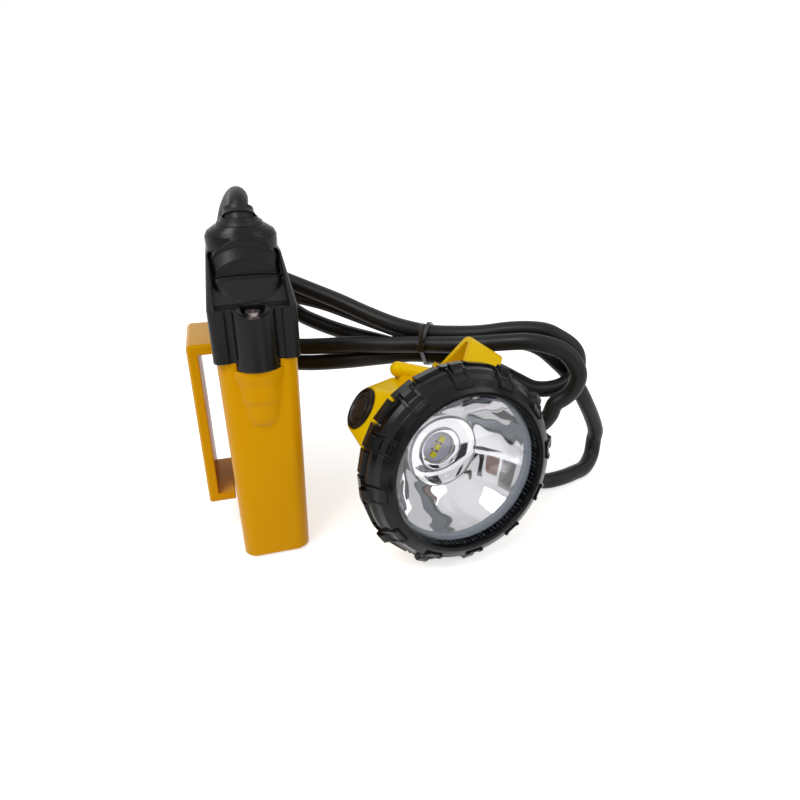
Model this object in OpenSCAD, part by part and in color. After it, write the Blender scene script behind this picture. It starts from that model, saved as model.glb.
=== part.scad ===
// Miner's cap lamp: belt battery pack, lamp head and the rubber cord between them.
// Millimetres. X is the pack's thickness (+X away from the belt loop), Y its width, Z up.
// Origin: centre of the pack's flat bottom, standing on a surface.

/* [Battery pack] */
// Width of the battery case along Y
pack_w = 76; // [75:0.5:77]
// Thickness of the battery case at its top, along X
pack_t = 32; // [31:0.5:33]
// Thickness of the battery case at its foot
pack_t_low = 29.6; // [29:0.2:31]
// Height of the yellow case, up to the joint with the cover
case_h = 96.6; // [96.2:0.2:97.2]
// Wall thickness of the case
case_wall = 2.4; // [2:0.2:2.6]
// Radius of the case's upright edges
case_r = 6; // [4:0.5:7]
// Height of the cover's rim above the joint
rim_h = 21.2; // [20.6:0.2:21.8]
// How far the cover stands out past the case
cover_over = 1; // [0.6:0.2:1.4]
// Radius of the screw boss on each narrow side of the cover
screw_boss_r = 9.8; // [9.4:0.2:10.2]

/* [Belt loop] */
// Width of the belt loop along Y
loop_w = 33; // [28:1:38]
// Clear depth of the loop between its bridge and the case
loop_gap = 7.4; // [6.6:0.2:8]
// Thickness of the loop's bridge
loop_t = 4.4; // [3.6:0.2:5]
// Height of the underside of the lower bar
loop_z0 = 20; // [18:0.5:22]
// Gap between the upper bar and the cover's joint
loop_drop = 0.4; // [0.2:0.2:1]
// How far the upper bar rises past the joint, outside the cover
loop_rise = 1.2; // [0.4:0.2:2]
// Height of each bar
loop_bar = 4.4; // [4:0.2:5]

/* [Lamp head] */
// Outer radius of the tyre without its blocks
tyre_r = 44; // [43.6:0.1:44.2]
// Radial width of the tyre around its front opening
tyre_rim = 9.5; // [9.4:0.1:10]
// Radial thickness of the tyre over its thread
tyre_wall = 6.4; // [6:0.1:6.6]
// Height of the blocks on the tyre
block_h = 2.5; // [1.8:0.1:2.6]
// Blocks around the rear of the tyre
block_n = 24; // [18:1:26]
// Ribs across the front of the tyre
rib_n = 12; // [8:1:14]
// How much smaller the yellow housing's radius is than the tyre's
house_step = 13; // [12.6:0.2:14]
// Depth from the lip to the rear end of the housing
house_end = 58; // [57.5:0.5:59]
// Wall thickness of the housing
house_wall = 2.4; // [2:0.1:2.6]
// Side of one light emitter
chip = 2.7; // [2.2:0.1:3]

/* [Switch] */
// Radius of the rubber push button
button_r = 8.2; // [7.6:0.1:8.4]
// Travel of the button
button_travel = 1.5; // [1:0.1:1.6]
// Running clearance around the button
button_gap = 0.1; // [0.06:0.01:0.14]

/* [Cord] */
// Diameter of the rubber cord
cord_d = 8.5; // [8.2:0.1:8.6]

/* [Hidden] */
$fn = 64;
joint_z = case_h;
rim_z = case_h + rim_h;
yellow = [0.96, 0.70, 0.06];
black = [0.08, 0.08, 0.09];
steel = [0.72, 0.72, 0.74];
brass = [0.78, 0.62, 0.30];
green = [0.08, 0.32, 0.16];

// belt loop
loop_x = -pack_t / 2 - loop_gap;
loop_z1 = joint_z - loop_drop;
loop_top = joint_z + loop_rise;
// cover
cover_gap = 0.3;
cov_t = pack_t + 2 * cover_over;
cov_w = pack_w + 2 * cover_over;
cov_wall = 2.4;
shoulder_t = 2.9;
boss_y = pack_w / 2 - 4.5;
boss_drop = 3.2;
screw_y = pack_w / 2 - 2.5;
screw_seat = rim_z - 4;
screw_r = 1.5;
screw_head_r = 3.4;
screw_len = 20;
insert_r = 2.6;
insert_len = 7;
insert_z = joint_z - 11.5;
tower_z = rim_z + 25.6;
boot_bore = cord_d / 2;
boot_neck = cord_d / 2 + 1.6;
boot_flange = 7;
deck_z = rim_z;
// lip of the case and the seal around it
lip_t = pack_t - 4.4;
lip_w = pack_w - 12;
lip_gap = 0.1;
seal_h = 1.4;
seal_w = 1.5;
// cells
cell_len = 65;
cell_gap = 2;
cell_side = 7.4;
cell_pitch = (pack_w - 2 * cell_side) / 3;
cell_r = (cell_pitch - cell_gap) / 2;
holder_side = 6.6;
cell_z = case_wall + 2.8;
pcb_z = cell_z + cell_len + 4.4;
// strap over the cord
clamp_rise = 12;
clamp_t = 18;
clamp_w = 28;
clamp_h = 6;
// cord exit
exit_lean = 30;
lean_z = tower_z + 1;
lean_len = 5;

// lamp head: lip centre, facing, lean and roll
lip_r = tyre_r - tyre_rim;
bayonet_r = tyre_r - tyre_wall;
house_r = tyre_r - house_step;
head_rest = 1.2;
head_at = [80.8, -68.1, tyre_r + block_h + head_rest];
head_az = 6.6;
head_el = 6.5;
head_roll = 35;
tyre_end = 19;
pad_w = 8;
block_gap = 1.3;
seat_z = -11.4;
board_z = -35;
pod_x = house_r + 11.4;
button_z = -36;
cordway_z = -42;
cordway_ang = 5;
gland_x = house_r + 2.6;
sink_r = house_r - 11;
sink_screw_r = house_r - 8;
hook_w = 20;
hook_foot = house_r + 0.6;
hook_t = 2.6;
hook_pitch = 6;
hook_screw_z = -house_end + 3.6;

// cord routes: hand-laid points in millimetres
lead_a = [
    [0, 2.5, 148.7], [0.5, 5.4, 151.4], [0.8, 10.5, 152.6], [0.2, 17, 152.2],
    [-1.4, 24, 149.4], [-3.4, 31, 144.2], [-5, 37, 137.4], [-5.6, 43, 130],
    [-4, 49, 121.5], [3, 53, 115], [14, 51, 109], [23, 45, 106]
];
lead_b = [
    [137, -9.5, 78], [144, -10, 75], [150.5, -10, 69.5], [157.5, -12, 62.5],
    [164, -13, 54], [170, -13, 44.5], [176.5, -11.5, 34], [181.5, -10, 24],
    [182.5, -8.5, 17], [180, -11.5, 8.6],
    [173, -16.5, 4.6], [164, -20, 4.5], [154, -22.6, 4.6], [144, -23.3, 5],
    [135.3, -23.68, 8.96],
    [128.53, -24.02, 12.84], [119.34, -24.48, 18.11], [110.68, -24.91, 23.07]
];
hank_at = [86, 10, 79];
hank_az = -33.5;
hank_t = 28;
tie_w = 2.6;
tie_at = 2.4;

// ---------- helpers ----------
// upright slab with rounded corners
module slab(t, w, r, h) {
    linear_extrude(h)
        rounded(t, w, r);
}

// rectangle with rounded corners: tangent discs joined by two bars
module rounded(t, w, r) {
    square([t - 2 * r, w], center = true);
    square([t, w - 2 * r], center = true);
    for (i = [-1, 1], j = [-1, 1])
        translate([i * (t / 2 - r), j * (w / 2 - r)])
            circle(r, $fn = 48);
}

// moves a piece from the head's own frame (+Z is where it shines) to the lamp's frame
module in_head() {
    translate(head_at)
        rotate([0, 0, head_az])
            rotate([90 - head_el, 0, 0])
                rotate([0, 0, -head_roll])
                    children();
}

// ---------- battery pack ----------
module case_shell() {
    hull() {
        slab(pack_t_low - 3, pack_w - 5, case_r - 1.5, 0.1);
        translate([0, 0, 1.6])
            slab(pack_t_low, pack_w - 1.5, case_r, 0.1);
        translate([0, 0, joint_z - 0.1])
            slab(pack_t, pack_w, case_r, 0.1);
    }
}

// boss that carries the cover screw, tapering in soft steps down the narrow side
module case_boss(side) {
    back = 9;
    translate([0, side * boss_y, joint_z - boss_drop - 0.2])
        cylinder(r = screw_boss_r - 1.6, h = boss_drop + 0.2);
    translate([0, side * (pack_w / 2 - back), joint_z])
        rotate_extrude($fn = 96)
            polygon([
                [0, -boss_drop - 0.2], [back + 4.3, -boss_drop - 0.2], [back + 4.1, -6.6],
                [back + 3.5, -9.2], [back + 3.2, -10.4], [back + 3, -16],
                [back + 2.8, -17.2], [back + 2.2, -19.2], [back + 1.8, -24.6],
                [back + 1.2, -27.4], [back, -29.2], [0, -29.2]
            ]);
}

module battery_case() {
    color(yellow)
    difference() {
        union() {
            case_shell();
            case_boss(-1);
            case_boss(1);
            // lip inside the cover
            translate([0, 0, joint_z - 4])
                slab(lip_t, lip_w, case_r - 2, 7);
        }
        // cavity for the cells
        hull() {
            translate([0, 0, case_wall])
                slab(pack_t_low - 2 * case_wall, pack_w - 9, case_r - 3, 0.1);
            translate([0, 0, joint_z - 14])
                slab(pack_t - 2 * case_wall - 0.6, pack_w - 8, case_r - 3, 0.1);
        }
        translate([0, 0, joint_z - 14.1])
            slab(lip_t - 3.6, lip_w - 8, case_r - 3, 20);
        // pockets of the threaded inserts
        for (side = [-1, 1])
            translate([0, side * screw_y, insert_z]) {
                translate([0, 0, -2])
                    cylinder(r = screw_r + 0.2, h = 30);
                cylinder(r = insert_r, h = insert_len);
            }
    }
}

module belt_loop() {
    outer = loop_x - loop_t;
    clear_x = -cov_t / 2 - cover_gap;
    mid_z = (loop_z0 + loop_top) / 2;
    color(yellow)
    difference() {
        union() {
            translate([outer, -loop_w / 2, loop_z0])
                cube([loop_t + loop_gap, loop_w, loop_z1 - loop_z0]);
            // the bar rises past the joint outside the cover's overhang
            translate([outer, -loop_w / 2, loop_z0])
                cube([clear_x - outer, loop_w, loop_top - loop_z0]);
        }
        // belt gap
        translate([loop_x, -loop_w / 2 - 1, loop_z0 + loop_bar])
            cube([loop_gap + 3, loop_w + 2, loop_top - loop_z0 - 2 * loop_bar]);
        // the case fills the rest, leaning in towards its foot
        case_shell();
        // bevelled edges along the bars and the bridge
        for (i = [-1, 1], j = [-1, 1])
            translate([outer, i * loop_w / 2, mid_z + j * (loop_top - loop_z0) / 2])
                rotate([45, 0, 0])
                    cube([50, 1.6, 1.6], center = true);
        for (i = [-1, 1])
            translate([outer, i * loop_w / 2, mid_z])
                rotate([0, 0, 45])
                    cube([1.4, 1.4, 200], center = true);
        for (j = [-1, 1])
            translate([outer, 0, mid_z + j * (loop_top - loop_z0) / 2])
                rotate([0, 45, 0])
                    cube([1.8, 100, 1.8], center = true);
    }
}

// outline of the cover: corner blocks, grooves and the screw boss on each narrow side
module cover_plan() {
    rounded(cov_t, cov_w, 3);
    for (j = [-1, 1])
        translate([0, j * boss_y])
            circle(screw_boss_r, $fn = 64);
}

// lowest plate: a half-round front that slopes back to a straight upper edge
module plate(y0, z0, lip, y1, z1, w, squash) {
    hull() {
        for (j = [-1, 1])
            translate([0, j * (y0 - w / 2 * squash), z0])
                scale([1, squash, 1])
                    cylinder(r = w / 2, h = lip, $fn = 72);
        translate([0, 0, z1 - 0.1])
            slab(w, 2 * y1, 3, 0.1);
    }
}

module stadium(w, y, h) {
    for (j = [-1, 1])
        translate([0, j * max(y - w / 2, 0.01), 0])
            cylinder(r = min(w / 2, y), h = h, $fn = 72);
    if (y < w / 2)
        scale([w / 2 / y, 1, 1])
            cylinder(r = y, h = h, $fn = 72);
}

// block with softened corners whose top is crowned by c along its length
module crowned(w, y, z, h, c) {
    radius = (w * w / 4 + c * c) / (2 * c);
    intersection() {
        translate([0, 0, z])
            slab(w, 2 * y, 3, h + c);
        translate([0, 0, z + h + c - radius])
            rotate([90, 0, 0])
                cylinder(r = radius, h = 100, center = true, $fn = 240);
    }
}

// one of the upper steps, reaching from shoulder to shoulder
module step(y0, z0, lip, y1, z1, w0, w1, c) {
    hull() {
        crowned(w0, y0, z0, lip, c);
        crowned(w1, y1, z1 - 0.4, 0.4, c);
    }
}

// gable across the cover through (y, z) points from its edge inwards, extruded along X
module gable(t, pts) {
    n = len(pts);
    rotate([90, 0, 90])
        linear_extrude(t, center = true)
            polygon(concat(
                [[-pts[0][0], rim_z - 6]],
                [for (p = pts) [-p[0], deck_z + p[1]]],
                [for (i = [n - 1 : -1 : 0]) [pts[i][0], deck_z + pts[i][1]]],
                [[pts[0][0], rim_z - 6]]
            ));
}

// walls that rise along the two broad sides
module shoulders() {
    e = cov_w / 2;
    intersection() {
        gable(cov_t, [[e, 0.4], [e - 3, 3], [28, 8], [20, 12], [8, 15.4]]);
        hull() {
            translate([0, 0, rim_z - 6])
                slab(cov_t, cov_w, 3, 6);
            translate([0, 0, deck_z + 16])
                slab(cov_t - 4, 20, 3, 0.1);
        }
    }
}

module top_cover() {
    color(black)
    difference() {
        union() {
            translate([0, 0, joint_z])
                linear_extrude(rim_h)
                    cover_plan();
            // the screw bosses reach a little lower, around the case's own
            for (side = [-1, 1])
                translate([0, side * boss_y, joint_z - boss_drop])
                    difference() {
                        cylinder(r = screw_boss_r, h = boss_drop + 0.1);
                        translate([0, 0, -1])
                            cylinder(r = screw_boss_r - 1.4, h = boss_drop + 1);
                        translate([-20, side < 0 ? 0 : -40, -1])
                            translate([0, side * (pack_w / 2 - boss_y + 0.3), 0])
                                cube([40, 40, boss_drop + 1]);
                    }
            difference() {
                shoulders();
                // channel between the shoulders
                translate([-(cov_t / 2 - shoulder_t), -cov_w, deck_z])
                    cube([cov_t - 2 * shoulder_t, 2 * cov_w, 40]);
            }
            // its floor rises steeply behind the lowest plate
            gable(cov_t - 2 * shoulder_t + 1,
                [[30, 0], [20, 4.6], [16.4, 6.6], [12.4, 11], [9, 12.6]]);
            // lowest plate, the steps and the drum under the boot
            plate(29.6, deck_z - 1, 1.6, 18.6, deck_z + 7.2, 29, 0.66);
            step(19, deck_z + 5, 2.2, 14.8, deck_z + 7.5, 29, 29, 0.9);
            step(16, deck_z + 5, 2.4, 11.4, deck_z + 12.4, 29, 29, 7);
            step(12.4, deck_z + 9, 2.4, 9, deck_z + 11.2, 29, 28, 10);
            hull() {
                translate([0, 0, deck_z + 6])
                    stadium(28.4, 11, 11.7);
                translate([0, 0, deck_z + 19])
                    stadium(29.6, 11.6, 2.4);
                translate([0, 0, deck_z + 23.4])
                    stadium(27.4, 10.6, 0.1);
                translate([0, 0, tower_z - 0.1])
                    stadium(21, 9.7, 0.1);
            }
        }
        // hollow of the skirt
        translate([0, 0, joint_z - 1])
            linear_extrude(rim_h - cov_wall + 1)
                rounded(lip_t, lip_w - 5, case_r - 2);
        // room for the case's lip
        translate([0, 0, joint_z - 1])
            slab(lip_t + 2 * lip_gap, lip_w + 2 * lip_gap, case_r - 2 + lip_gap, 4.2);
        // room above the rim, under the plates
        translate([0, 0, rim_z - 4])
            hull() {
                slab(22, 36, 4, 1);
                translate([0, 0, 15])
                    slab(16, 16, 6, 1);
            }
        // room for the boot's inner flange, and the cord way
        translate([0, 0, rim_z + 2])
            cylinder(r = boot_flange + 0.2, h = tower_z - 12 - rim_z - 2);
        cylinder(r = boot_neck, h = 300);
        // seal groove
        translate([0, 0, joint_z - 0.01])
            linear_extrude(seal_h + 0.01)
                seal_plan();
        // grooves beside the screw bosses
        for (i = [-1, 1], j = [-1, 1])
            translate([i * (screw_boss_r - 0.3), j * (cov_w / 2 + 1.1), joint_z - 1])
                cylinder(r = 2, h = 60);
        for (side = [-1, 1]) {
            // recess of the screw in a saucer that lowers the boss's front edge
            translate([0, side * screw_y, screw_seat])
                cylinder(r = screw_head_r + 1.3, h = 40);
            translate([0, side * (screw_y + 6), rim_z + 8])
                sphere(r = 11, $fn = 72);
            translate([0, side * screw_y, joint_z - 10])
                cylinder(r = screw_r + 0.2, h = 40);
        }
    }
}

module seal_plan() {
    g = 2 * lip_gap;
    difference() {
        rounded(lip_t + g + 2 * seal_w, lip_w + g + 2 * seal_w, case_r - 0.5);
        rounded(lip_t + g, lip_w + g, case_r - 2 + lip_gap);
    }
}

module cover_seal() {
    color([0.15, 0.15, 0.16])
    translate([0, 0, joint_z])
        linear_extrude(seal_h)
            seal_plan();
}

// pan head screw, point down, head underside at z = 0
module pan_screw(r, head_r, len, head_h) {
    difference() {
        union() {
            translate([0, 0, -len])
                cylinder(r = r, h = len + 0.01);
            cylinder(r1 = head_r, r2 = head_r - 0.5, h = head_h);
        }
        translate([0, 0, head_h])
            for (a = [0, 90])
                rotate([0, 0, a])
                    cube([head_r * 1.3, head_r * 0.26, head_h], center = true);
    }
}

module cover_screws() {
    color([0.78, 0.70, 0.66])
    for (side = [-1, 1])
        translate([0, side * screw_y, screw_seat])
            pan_screw(screw_r, screw_head_r, screw_seat - insert_z - 1, 2.2);
}

module thread_inserts() {
    color(brass)
    for (side = [-1, 1])
        translate([0, side * screw_y, insert_z])
            difference() {
                cylinder(r = insert_r, h = insert_len);
                translate([0, 0, -1])
                    cylinder(r = screw_r, h = insert_len + 2);
            }
}

// ringed rubber sleeve around the cord, standing on the tower
module cable_boot() {
    color(black)
    difference() {
        union() {
            translate([0, 0, tower_z - 12])
                cylinder(r = boot_neck, h = 13);
            translate([0, 0, tower_z])
                cylinder(r1 = 9.8, r2 = 9, h = 1.6);
            translate([0, 0, tower_z + 1])
                cylinder(r1 = 8.4, r2 = 7.6, h = 2);
            translate([0, 0, tower_z - 14])
                cylinder(r = boot_flange, h = 2);
            // upper rings lean back with the cord
            intersection() {
                translate([0, 0, lean_z])
                    rotate([-exit_lean, 0, 0]) {
                        translate([0, 0, -4])
                            cylinder(r = 6.3, h = lean_len + 4);
                        translate([0, 0, 1.6])
                            cylinder(r1 = 7.2, r2 = 6.6, h = 1.5);
                    }
                translate([-20, -20, tower_z])
                    cube(40);
            }
        }
        translate([0, 0, tower_z - 20])
            cylinder(r = boot_bore, h = lean_z - tower_z + 20.4);
        translate([0, 0, lean_z])
            rotate([-exit_lean, 0, 0])
                translate([0, 0, -0.4])
                    cylinder(r = boot_bore + 0.3, h = 20);
    }
}

// two-screw strap that holds the cord inside the cover
clamp_z = joint_z + clamp_rise;
module cord_clamp() {
    color([0.2, 0.2, 0.22])
    difference() {
        translate([-clamp_t / 2, -clamp_w / 2, clamp_z])
            cube([clamp_t, clamp_w, clamp_h]);
        translate([0, 0, clamp_z - 1])
            cylinder(r = cord_d / 2, h = 20);
        for (side = [-1, 1])
            translate([0, side * (clamp_w / 2 - 4), clamp_z - 1])
                cylinder(r = 1.3, h = 20);
    }
}

module clamp_screws() {
    color(steel)
    for (side = [-1, 1])
        translate([0, side * (clamp_w / 2 - 4), clamp_z])
            mirror([0, 0, 1])
                pan_screw(1.3, 2.4, 5.6, 1.6);
}

module battery_cells() {
    color([0.16, 0.36, 0.62])
    for (i = [-1, 0, 1])
        translate([0, i * cell_pitch, cell_z]) {
            cylinder(r = cell_r, h = cell_len - 1);
            cylinder(r = 3.4, h = cell_len);
        }
}

module holder() {
    difference() {
        slab(pack_t_low - 2 * case_wall - 0.6, pack_w - 2 * holder_side, 3, 5);
        for (i = [-1, 0, 1])
            translate([0, i * cell_pitch, -1])
                cylinder(r = cell_r, h = 8);
    }
}

module cell_holders() {
    color([0.1, 0.1, 0.12]) {
        translate([0, 0, cell_z])
            holder();
        translate([0, 0, cell_z + cell_len - 6])
            holder();
        // pillars that carry the board
        for (i = [-1, 1], j = [-1, 1])
            translate([i * 9.2, j * cell_pitch / 2, cell_z + cell_len - 1])
                cylinder(r = 1.6, h = pcb_z - cell_z - cell_len + 1);
    }
}

module cell_tabs() {
    color(steel) {
        translate([-3, -cell_pitch - 4, cell_z + cell_len])
            cube([6, 2 * cell_pitch + 8, 0.4]);
        translate([-3, -cell_pitch - 4, cell_z - 0.4])
            cube([6, 2 * cell_pitch + 8, 0.4]);
    }
}

module foam_pad() {
    color([0.3, 0.3, 0.32])
    translate([0, 0, case_wall])
        slab(pack_t_low - 2 * case_wall - 1, pack_w - 14, 2, cell_z - 0.4 - case_wall);
}

module protection_board() {
    color(green)
    translate([0, 0, pcb_z])
        slab(22, 52, 1, 1.6);
}

module board_parts() {
    top = pcb_z + 1.6;
    color([0.12, 0.12, 0.13]) {
        for (i = [0 : 3])
            translate([-7, -22 + i * 8, top])
                cube([5, 6, 1.7]);
        translate([2, -20, top])
            cube([7, 9, 3]);
        translate([6, 6, top])
            cylinder(r = 3, h = 6);
        translate([-4, 14, top])
            cube([8, 8, 4.4]);
    }
}

module pack_wires() {
    color([0.7, 0.08, 0.06])
    for (side = [-1, 1])
        tube([
            [side * 1.6, 17.5 + side * 1.6, pcb_z + 7],
            [side * 1.6, 12, clamp_z - 10],
            [side * 1.6, 1, clamp_z - 5],
            [side * 1.6, 0, clamp_z - 0.9]
        ], 0.9, 8);
    color([0.08, 0.08, 0.08])
        translate([0, 0, clamp_z - 1])
            cylinder(r = cord_d / 2 - 0.6, h = clamp_h + 1);
}

// ---------- lamp head, in its own frame: lip at z = 0, shining towards +Z ----------
module ring_profile(pts) {
    rotate_extrude($fn = 96)
        polygon(pts);
}

house_front = -15;
pod_r = button_r + button_gap + 3.4;

module head_housing() {
    color(yellow)
    in_head() {
        difference() {
            union() {
                // round body: threaded rim, shoulder and domed rear
                rotate_extrude($fn = 96)
                    polygon([
                        [0, -house_end], [14, -house_end], [20, -house_end + 1.4],
                        [house_r - 5, -house_end + 5], [house_r - 1, -house_end + 10],
                        [house_r, -42], [house_r + 2.4, -32], [bayonet_r, -tyre_end - 4],
                        [bayonet_r + 1.4, -tyre_end - 2.4], [bayonet_r + 1.4, -tyre_end],
                        [bayonet_r, -tyre_end], [bayonet_r, house_front],
                        [0, house_front]
                    ]);
                // switch pod on the side, cut flat behind the tyre
                intersection() {
                    hull() {
                        translate([-pod_x, 0, button_z])
                            rotate([0, 90, 0])
                                cylinder(r = pod_r - 1, h = 1, $fn = 32);
                        translate([-pod_x + 2, 0, button_z])
                            rotate([0, 90, 0])
                                cylinder(r = pod_r, h = 1, $fn = 32);
                        translate([-22, 0, button_z - 1])
                            rotate([0, 90, 0])
                                cylinder(r = pod_r + 5, h = 1, $fn = 32);
                        translate([-30, 0, -tyre_end - 2])
                            cube([16, 2 * pod_r + 6, 1], center = true);
                        // its upper slope runs up to the side boss
                        translate([-33, 15, button_z - 6])
                            rotate([0, 90, 0])
                                cylinder(r = 3.4, h = 6, $fn = 32);
                    }
                    translate([-60, -40, -80])
                        cube([60, 80, 80 - tyre_end - 0.3]);
                }
                // round-ended side boss on its web
                translate([-32.6, 22.6, -43.4])
                    rotate([0, 0, 16]) {
                        sphere(3.6, $fn = 32);
                        rotate([0, 90, 0])
                            cylinder(r = 3.6, h = 17, $fn = 48);
                        translate([1, -15, -3.2])
                            cube([16, 15, 6.4]);
                    }
                // pad under the helmet hook
                translate([-hook_w / 2, 20, -house_end + 1])
                    cube([hook_w, hook_foot - 20, 12]);
                // cord socket
                rotate([0, 0, cordway_ang])
                    translate([18, 0, cordway_z])
                        rotate([0, 90, 0])
                            cylinder(r = 9.4, h = gland_x - 18);
            }
            // cavity
            rotate_extrude($fn = 96)
                polygon([
                    [0, -house_end + house_wall], [18, -house_end + house_wall + 1],
                    [house_r - 3.6, -house_end + 9], [house_r - house_wall, -43],
                    [house_r - house_wall, -34], [bayonet_r - 2.4, -24],
                    [bayonet_r - 2.4, house_front + 1], [0, house_front + 1]
                ]);
            // switch well
            translate([-pod_x - 2, 0, button_z])
                rotate([0, 90, 0])
                    cylinder(r = button_r + button_gap + 1.4, h = 9.8);
            translate([-pod_x, 0, button_z])
                rotate([0, 90, 0])
                    cylinder(r = 3, h = 20);
            // cord hole
            rotate([0, 0, cordway_ang])
                translate([10, 0, cordway_z])
                    rotate([0, 90, 0])
                        cylinder(r = 6, h = 40);
            hook_holes(1.25, -1, 8);
        }
        // blind bosses for the hook's screws
        difference() {
            hook_holes(2.8, 1, 8.4);
            hook_holes(1.25, -1, 8);
        }
    }
}

// two posts at the hook's screws, from a depth below the pad upwards
module hook_holes(r, from, to) {
    for (i = [-1, 1])
        translate([i * hook_pitch, hook_foot - from, hook_screw_z])
            rotate([90, 0, 0])
                cylinder(r = r, h = to - from);
}

// rubber tyre that screws over the housing and holds the lens
module tyre_bezel() {
    color(black)
    in_head() {
        ring_profile([
            [lip_r, 0], [lip_r + 1.4, 0.2], [lip_r + 3.2, -0.8], [lip_r + 6, -2.8],
            [tyre_r - 2, -6], [tyre_r - 0.5, -8], [tyre_r, -10], [tyre_r - 1, -15],
            [tyre_r - 2, -17.4], [tyre_r - 3.4, -tyre_end], [bayonet_r, -tyre_end],
            [bayonet_r, seat_z], [lip_r, seat_z]
        ]);
        for (i = [0 : rib_n - 1])
            rotate([0, 0, 8 + i * 360 / rib_n])
                rotate([90, 0, 0]) {
                    // low pad over the front face, framed by two ridges and a bar
                    linear_extrude(pad_w - 1, center = true)
                        pad_section(5, 0.5);
                    for (j = [-1, 1])
                        translate([0, 0, j * (pad_w - 1.4) / 2])
                            linear_extrude(1.4, center = true)
                                pad_section(4.5, 1.2);
                    linear_extrude(pad_w - 0.5, center = true)
                        polygon([
                            [lip_r + 3.6, -2.6], [lip_r + 4, -0.5], [lip_r + 5.4, -1.6],
                            [lip_r + 5.7, -3.6]
                        ]);
                    // tooth at the rim
                    linear_extrude(4.6, center = true)
                        polygon([
                            [tyre_r - 2.4, -7], [tyre_r - 1, -6.1], [tyre_r + 0.9, -7.1],
                            [tyre_r + block_h, -8.6], [tyre_r + block_h, -11.4],
                            [tyre_r - 1.3, -12.7]
                        ]);
                }
        // blocks around the rear shoulder
        for (i = [0 : block_n - 1])
            rotate([0, 0, (i + 0.5) * 360 / block_n])
                rotate([90, 0, 0])
                    linear_extrude(2 * PI * tyre_r / block_n - block_gap, center = true)
                        polygon([
                            [tyre_r - 1.8, -11.4], [tyre_r + block_h - 1.3, -12],
                            [tyre_r + block_h - 1.7, -17], [tyre_r - 3, -18.6]
                        ]);
    }
}

// section of a pad on the tyre's front face, from a distance outside the lip to the rim
module pad_section(from, rise) {
    polygon([
        [lip_r + from, -3 - from / 2], [lip_r + from, 1.5 - 0.72 * from + rise],
        [lip_r + 6.3, rise - 3.2], [tyre_r - 1.9, rise - 5.9],
        [tyre_r - 0.4 + rise * 0.7, -8 + rise / 4],
        [tyre_r + rise * 0.8, -10.4 - rise / 2], [tyre_r - 1 - rise / 3, -12 - rise / 2],
        [tyre_r - 3 - rise / 3, -9 - rise / 4]
    ]);
}

// clear cap: a slightly domed window with a deep edge
module lens() {
    color([0.85, 0.92, 0.95, 0.35])
    in_head()
        ring_profile([
            [0, -1.4], [lip_r * 0.35, -1.6], [lip_r * 0.7, -2.2], [lip_r, -3.2],
            [lip_r, seat_z], [lip_r - 2, seat_z], [lip_r - 2, -5.2], [lip_r * 0.7, -4.4],
            [lip_r * 0.35, -3.8], [0, -3.6]
        ]);
}

module lens_seal() {
    color([0.2, 0.2, 0.22])
    in_head()
        ring_profile([
            [lip_r - 1.2, seat_z], [bayonet_r - 0.3, seat_z],
            [bayonet_r - 0.3, seat_z - 1.8], [lip_r - 1.2, seat_z - 1.8]
        ]);
}

// bright bowl with a step ring and an inner cup around the board
module reflector() {
    color([0.86, 0.86, 0.88])
    in_head()
        ring_profile([
            [7.8, board_z + 1.6], [8.4, board_z + 3.4], [10.2, board_z + 3.8],
            [10.6, board_z + 4.4], [14, board_z + 4.9], [17.2, board_z + 5.9],
            [17.5, board_z + 6.9], [lip_r - 12.5, board_z + 10.2],
            [lip_r - 7.5, board_z + 15.2], [lip_r - 3.5, seat_z - 3.2],
            [lip_r - 1.3, seat_z], [lip_r - 1.2, seat_z],
            [lip_r - 1.2, seat_z - 1.8], [bayonet_r - 3, seat_z - 1.8],
            [bayonet_r - 3, seat_z - 3.2], [lip_r - 1.7, seat_z - 3.2],
            [lip_r - 6.1, board_z + 14.4], [lip_r - 11.3, board_z + 9.4], [18.6, board_z + 6],
            [18.2, board_z + 4.9], [14.4, board_z + 3.8], [11.4, board_z + 3.2],
            [10.8, board_z + 2.6], [9.4, board_z + 2.2], [9, board_z + 1.6]
        ]);
}

module led_board() {
    color([0.86, 0.84, 0.92])
    in_head()
        translate([0, 0, board_z])
            cylinder(r = 9.4, h = 1.6);
}

module led_chips() {
    color([0.98, 0.88, 0.20])
    in_head()
        for (i = [-1, 0, 1])
            translate([-chip / 2, i * 4.1 - chip / 2, board_z + 1.6])
                cube([chip, chip, 0.8]);
}

module heat_sink() {
    color([0.62, 0.63, 0.65])
    in_head()
    difference() {
        union() {
            translate([0, 0, board_z - 3])
                cylinder(r = sink_r, h = 3);
            for (i = [-3 : 3])
                translate([i * sink_r * 0.23 - 0.7, 6 - sink_r, board_z - 9])
                    cube([1.4, 2 * sink_r - 12, 6.5]);
            // arms that seat on the housing wall
            for (a = [45, 135, 225, 315])
                rotate([0, 0, a])
                    translate([sink_r - 2, -3, board_z - 3])
                        cube([house_r - house_wall - sink_r + 1.8, 6, 3]);
        }
        for (a = [45, 225])
            rotate([0, 0, a])
                translate([sink_screw_r, 0, board_z - 10])
                    cylinder(r = 1.3, h = 20);
    }
}

module heat_sink_screws() {
    color(steel)
    in_head()
        for (a = [45, 225])
            rotate([0, 0, a])
                translate([sink_screw_r, 0, board_z])
                    pan_screw(1.3, 2.3, 6, 1.5);
}

module driver_board() {
    color(green)
    in_head()
        translate([0, 0, board_z - 10.6])
            cylinder(r = sink_r - 5, h = 1.6);
}

module driver_parts() {
    color([0.14, 0.14, 0.15])
    in_head()
        translate([0, 0, board_z - 10.6]) {
            translate([-9, -7, -3])
                cube([6, 6, 3]);
            translate([4, 3, 0])
                mirror([0, 0, 1])
                    cylinder(r = 3.2, h = 4);
            translate([1, -9, -1.8])
                cube([7, 5, 1.8]);
        }
}

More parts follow.
